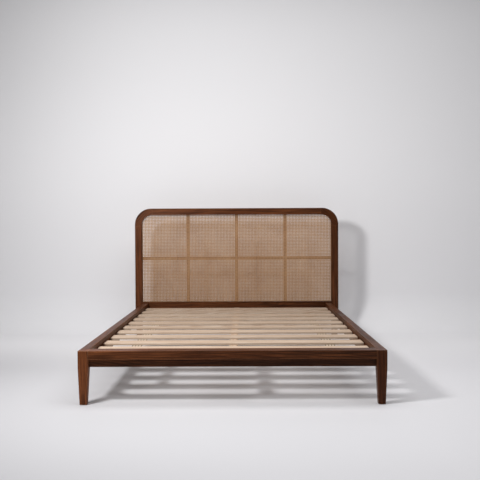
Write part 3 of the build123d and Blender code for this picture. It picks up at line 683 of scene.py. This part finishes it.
def makeStraps():
    # a band that touches each slat, hangs a little between them and has ribs across its width
    firstLow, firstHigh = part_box("slat_01")
    secondLow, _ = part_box("slat_02")
    pitch = secondLow.y - firstLow.y
    middleOfSlat = (firstLow.y + firstHigh.y) / 2
    strapLow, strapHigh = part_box("slat_strap_left")
    material = makeWebbingCloth("webbing", webbingLook, abs(strapLow.x + strapHigh.x) / 2)
    for side in ("left", "right"):
        low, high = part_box("slat_strap_" + side)
        width, length = high.x - low.x, high.y - low.y
        band = bmesh.new()
        steps = (webbing["acrossSteps"], round(length / webbing["alongStep"]))
        bmesh.ops.create_grid(band, x_segments=steps[0], y_segments=steps[1], size=0.5)
        room = high.z - low.z - webbing["thickness"]
        for vertex in band.verts:
            x, y = vertex.co.x, vertex.co.y * length + (low.y + high.y) / 2
            gap = 0.5 - 0.5 * math.cos(2 * math.pi * (y - middleOfSlat) / pitch)
            rib = 0.5 + 0.5 * math.cos(2 * math.pi * x * steps[0] / webbing["ribSteps"])
            edge = max(0.0, abs(x) - 0.5 + webbing["edgeShare"]) / webbing["edgeShare"]
            drop = webbing["sag"] * gap + webbing["ribs"] * rib + webbing["edgeDrop"] * edge * edge
            z = high.z - min(drop, room) - webbing["clearance"]
            vertex.co = ((low.x + high.x) / 2 + x * width, y, z)
        mesh = finishMesh("webbing_strap_" + side, band)
        shadeSmooth(mesh)
        strap = makePiece("webbing_strap_" + side, mesh, material, "frame",
                          "slat_strap_" + side)
        wall = strap.modifiers.new("wall", "SOLIDIFY")
        wall.thickness = webbing["thickness"]
        wall.offset = -1


makeStraps()
print("straps laid")


# shares of the head's radius, but for the pitch in metres
screwShape = {
    "segments": 14, "shank": 0.5,
    "flatTop": 0.9, "rim": 0.08,
    "recess": (0.55, 0.16), "recessDepth": 0.45, "recessTaper": 0.45,
    "pitch": 0.0026, "threadStep": 1.05,     # from one thread to the next, in pitches
    "threadDepth": 0.16, "point": 2.0,       # shares of the shank's radius
    "tip": (0.35, 0.5),
}


weldWithin = 1e-6


def spun(outline, segments):
    # closed turned shape round Z from (radius, height) points
    shape = bmesh.new()
    points = [shape.verts.new((radius, 0, height)) for radius, height in outline]
    geom = points + [shape.edges.new(pair) for pair in zip(points, points[1:])]
    bmesh.ops.spin(shape, geom=geom, cent=(0, 0, 0), axis=(0, 0, 1), angle=2 * math.pi,
                   steps=segments, use_merge=True)
    bmesh.ops.remove_doubles(shape, verts=shape.verts[:], dist=weldWithin)
    bmesh.ops.recalc_face_normals(shape, faces=shape.faces[:])
    return shape


def cutRecess(shape, head):
    # cross recess: the flat top is opened and joined to a cross that goes down
    long, short = (share * head for share in screwShape["recess"])
    hub = [vertex for vertex in shape.verts
           if vertex.co.z > -weldWithin and vertex.co.xy.length < short / 2]
    bmesh.ops.delete(shape, geom=hub, context="VERTS")
    rim = [edge for edge in shape.edges if edge.is_boundary]
    corners = []
    for turn in range(4):
        aim = Vector((math.cos(turn * math.pi / 2), math.sin(turn * math.pi / 2), 0))
        aside = Vector((-aim.y, aim.x, 0))
        corners += [aim * long - aside * short, aim * long + aside * short, (aim + aside) * short]
    cross = [shape.verts.new(corner) for corner in corners]
    outline = [shape.edges.new((cross[at - 1], cross[at])) for at in range(len(cross))]
    bmesh.ops.triangle_fill(shape, edges=rim + outline, use_beauty=True, use_dissolve=False)
    grown = bmesh.ops.extrude_edge_only(shape, edges=outline)["geom"]
    deep = only(grown, bmesh.types.BMVert)
    taper = screwShape["recessTaper"]
    bmesh.ops.scale(shape, verts=deep, vec=(taper, taper, 1))
    bmesh.ops.translate(shape, verts=deep, vec=(0, 0, -head * screwShape["recessDepth"]))
    bmesh.ops.contextual_create(shape, geom=deep)
    bmesh.ops.recalc_face_normals(shape, faces=shape.faces[:])


def makeScrew(head, shank, length):
    # countersunk screw: head at the origin, tip down
    rim, pitch = head * screwShape["rim"], screwShape["pitch"]
    neck = -rim - (head - shank)
    outline = [(0, 0), (head * screwShape["flatTop"], 0), (head, -rim), (shank, neck)]
    level = neck - pitch
    point = -length + shank * screwShape["point"]
    core = shank * (1 - screwShape["threadDepth"])
    while level - pitch > point:
        outline += [(core, level), (shank, level - pitch / 2), (core, level - pitch)]
        level -= pitch * screwShape["threadStep"]
    narrow, above = screwShape["tip"]
    outline += [(core, point), (core * narrow, -length + shank * above), (0, -length)]
    shape = spun(outline, screwShape["segments"])
    cutRecess(shape, head)
    return finishMesh("screw", shape)


def looseParts(node):
    # the points of each separate solid in a CAD part
    shape = bmesh.new()
    shape.from_mesh(nodes[node].data)
    bmesh.ops.remove_doubles(shape, verts=shape.verts[:], dist=weldWithin)
    left = dict.fromkeys(shape.verts)  # a dictionary keeps the points in order
    found = []
    while left:
        reached = [left.popitem()[0]]
        part = []
        while reached:
            vertex = reached.pop()
            part.append(vertex.co.copy())
            for edge in vertex.link_edges:
                other = edge.other_vert(vertex)
                if other in left:
                    del left[other]
                    reached.append(other)
        found.append(part)
    shape.free()
    return found


def measureScrew(points):
    # where the head is, which way the tip points, the head's radius and the length
    low = Vector([min(point[axis] for point in points) for axis in range(3)])
    high = Vector([max(point[axis] for point in points) for axis in range(3)])
    middle, extent = (low + high) / 2, high - low
    axis = max(range(3), key=lambda at: extent[at])
    aim = Vector([1.0 if at == axis else 0.0 for at in range(3)])
    offsets = [point - middle for point in points]
    girths = [(offset - aim * offset.dot(aim)).length for offset in offsets]
    widest = offsets[max(range(len(points)), key=lambda at: girths[at])]
    tip = -aim if widest.dot(aim) > 0 else aim
    return middle - tip * extent[axis] / 2, tip, max(girths), extent[axis]


def makeScrews(group, material):
    joined = bmesh.new()
    for points in looseParts(group):
        place, tip, head, length = measureScrew(points)
        mesh = makeScrew(head, head * screwShape["shank"], length)
        turn = Vector((0, 0, -1)).rotation_difference(tip).to_matrix().to_4x4()
        mesh.transform(Matrix.Translation(place) @ turn)
        joined.from_mesh(mesh)
        bpy.data.meshes.remove(mesh)
    name = group + "_cut"
    makePiece(name, finishMesh(name, joined), material, "frame", group)


for group in ("cleat_screws", "slat_screws", "corner_block_screws", "beam_hanger_foot_screws",
              "beam_hanger_head_screws"):
    makeScrews(group, steel)
makeScrews("batten_screws", darkSteel)


footShape = {
    "segments": 40, "padHeight": 0.008, "studRadius": 0.004,
    "hollow": 0.0006, "hollowReach": (0.7, 0.74),  # under the pad, shares of its radius
    "rim": 0.0012, "rimCuts": 4, "dish": 0.0012,
    "collar": (1.5, 1.4), "collarFall": 0.0002,    # shares of the stud's radius
    "neck": 0.9, "end": 0.8,
    "pitch": 0.00125, "threadDepth": 0.12, "bareEnd": 0.0008,
}


def makeLevellingFoot():
    # dished pad with a rounded rim and a threaded stud
    low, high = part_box("levelling_foot")
    radius, top = (high.x - low.x) / 2, high.z
    pad, stud, hollow = footShape["padHeight"], footShape["studRadius"], footShape["hollow"]
    rim, pitch, cuts = footShape["rim"], footShape["pitch"], footShape["rimCuts"]
    inner, outer = (radius * share for share in footShape["hollowReach"])
    outline = [(0, hollow), (inner, hollow), (outer, 0)]
    for start, level in ((-90, rim), (0, pad - footShape["dish"] - rim)):
        for step in range(cuts + 1):
            angle = math.radians(start + 90 * step / cuts)
            outline.append((radius - rim + rim * math.cos(angle), level + rim * math.sin(angle)))
    wide, narrow = (stud * share for share in footShape["collar"])
    neck = stud * footShape["neck"]
    outline += [(wide, pad - footShape["collarFall"]), (narrow, pad), (neck, pad), (neck, pad + pitch)]
    level = pad + pitch
    core = stud * (1 - footShape["threadDepth"])
    while level + pitch < top - footShape["bareEnd"]:
        outline += [(stud, level + pitch / 2), (core, level + pitch)]
        level += pitch
    outline += [(stud * footShape["end"], top), (0, top)]
    mesh = finishMesh("turned_levelling_foot", spun(outline, footShape["segments"]))
    makePiece("turned_levelling_foot", mesh, steel, "levelling_foot", "levelling_foot")


makeLevellingFoot()


studio = {
    "floor": colour("#e2e1e4"), "floorCloud": colour("#d6d5d8"), "cloud": 1.3, "cloudShare": 0.06,
    # the wall paint is lighter than the floor paint: painted light for the cove
    "wall": colour("#efeef0"), "roughness": 0.75, "gloss": 0.2,
    "wallGap": 0.35, "coveRadius": 0.34, "coveCuts": 16, "coveLift": 0.0003,
    "wallHeight": 5.0, "reach": 9.0,
    "keyPlace": (-1.55, -1.93, 2.05), "keyAim": (0.66, 0.74, -0.1), "keySize": 0.42, "keyPower": 72.0,
    "fillPlace": (0.6, -1.1, 3.7), "fillSize": (4.6, 2.6), "fillPower": 104.0,
    "sky": colour("#cfd0d4"), "skyStrength": 0.62, "skyLight": 0.07,
}


# painted light and shade on the floor and wall: where the paint changes, from one place to the other in
# metres, and how much darker it gets
studioPaintedLight = {
    "litWallUp": (0.0, 0.17), "litWallBack": (-0.3, 0.8),  # floor paint turns to the lighter wall paint: painted light that lifts the cove
    "high": (1.2, 2.6, 0.12),                         # painted shade, up the wall
    "left": (0.9, -2.3, 0.34),                        # painted shade along the floor, towards the key lamp's pool of light on the left
}


def makeStudioPaint():
    # pale paint, with painted light on the wall and painted shade high up and to the left; a sheet of it is
    # seen only from its front
    material, tree, shader, place = newMaterial("studio_paint")
    cloud = remap(tree, noise(tree, place["Object"], studio["cloud"], 3.0), 0.3, 0.7)
    cloud = calc(tree, "MULTIPLY", cloud, studio["cloudShare"])
    body = mixColour(tree, cloud, studio["floor"], studio["floorCloud"])
    spread = addNode(tree, "SeparateXYZ", None, {0: place["Object"]}).outputs
    rise = remap(tree, spread[2], *studioPaintedLight["litWallUp"], smooth=True)
    rise = calc(tree, "MAXIMUM", rise, remap(tree, spread[1], *studioPaintedLight["litWallBack"], smooth=True))
    body = mixColour(tree, rise, body, studio["wall"])
    # painted shade: darker high on the wall and on the floor towards the key lamp on the left
    start, end, shade = studioPaintedLight["high"]
    high = remap(tree, spread[2], start, end, 0.0, shade, smooth=True)
    start, end, shade = studioPaintedLight["left"]
    left = remap(tree, spread[0], start, end, 0.0, shade)
    left = calc(tree, "MULTIPLY", left, calc(tree, "SUBTRACT", 1.0, rise))
    body = mixColour(tree, calc(tree, "ADD", high, left, clamp=True), body, (0, 0, 0, 1))
    tree.links.new(body, shader.inputs["Base Color"])
    shader.inputs["Roughness"].default_value = studio["roughness"]
    shader.inputs["Specular IOR Level"].default_value = studio["gloss"]
    back = addNode(tree, "NewGeometry").outputs["Backfacing"]
    clear = addNode(tree, "BsdfTransparent").outputs[0]
    shown = addNode(tree, "MixShader", None, {0: back, 1: shader.outputs[0], 2: clear}).outputs[0]
    tree.links.new(shown, tree.nodes["Material Output"].inputs["Surface"])
    return material


def makeStage():
    # a floor, and a wall that curves up out of it
    paintwork = makeStudioPaint()
    reach, radius, lift = studio["reach"], studio["coveRadius"], studio["coveLift"]
    foot = cadBox[1].y + studio["wallGap"] - radius
    floor = bmesh.new()
    bmesh.ops.create_grid(floor, x_segments=8, y_segments=8, size=reach)
    wall = bmesh.new()
    start = wall.verts.new((-reach, foot, lift))
    bmesh.ops.spin(wall, geom=[start], cent=(-reach, foot, radius + lift), axis=(1, 0, 0),
                   angle=math.radians(90), steps=studio["coveCuts"], use_merge=False)
    wall.verts.ensure_lookup_table()
    top = max(wall.verts, key=lambda vertex: vertex.co.z)
    rise = bmesh.ops.extrude_vert_indiv(wall, verts=[top])["verts"]
    bmesh.ops.translate(wall, verts=rise, vec=(0, 0, studio["wallHeight"]))
    swept = bmesh.ops.extrude_edge_only(wall, edges=wall.edges[:])["geom"]
    bmesh.ops.translate(wall, verts=only(swept, bmesh.types.BMVert), vec=(2 * reach, 0, 0))
    for name, shape in (("floor", floor), ("backdrop", wall)):
        mesh = finishMesh(name, shape)
        mesh.materials.append(paintwork)
        shadeSmooth(mesh)
        sheet = addObject(name, mesh)
        sheet.visible_shadow = name == "floor"


def addAreaLight(name, place, aim, size, power):
    light = bpy.data.lights.new(name, "AREA")
    light.shape = "RECTANGLE"
    light.size, light.size_y = size
    light.energy = power
    lamp = addObject(name, light)
    lamp.location = place
    lamp.rotation_mode = "QUATERNION"
    lamp.rotation_quaternion = Vector(aim).to_track_quat("-Z", "Y")
    lamp.visible_camera = False


def makeLight():
    size = studio["keySize"]
    addAreaLight("key", studio["keyPlace"], studio["keyAim"], (size, size), studio["keyPower"])
    addAreaLight("ceiling", studio["fillPlace"], (0, 0, -1), studio["fillSize"], studio["fillPower"])
    world = bpy.data.worlds.new("studio")
    world.use_nodes = True
    tree = world.node_tree
    sky = tree.nodes["Background"]
    sky.inputs["Color"].default_value = studio["sky"]
    seen = addNode(tree, "LightPath").outputs["Is Camera Ray"]
    strength = remap(tree, seen, 0.0, 1.0, studio["skyLight"], studio["skyStrength"])
    tree.links.new(strength, sky.inputs["Strength"])
    bpy.context.scene.world = world


cameraSet = {
    "place": (0.0637, -4.2862, 0.9153),
    "turn": (89.061, 0.261, 0.36),  # degrees: a little down, a little left
    "lens": 46.28,
}


def makeCamera():
    camera = bpy.data.cameras.new("camera")
    camera.lens = cameraSet["lens"]
    camera.sensor_width = 36.0
    stand = addObject("camera", camera)
    stand.location = cameraSet["place"]
    stand.rotation_euler = [math.radians(angle) for angle in cameraSet["turn"]]
    bpy.context.scene.camera = stand


makeStage()
makeLight()
makeCamera()
bpy.context.scene.view_settings.view_transform = "Standard"
print("studio ready")
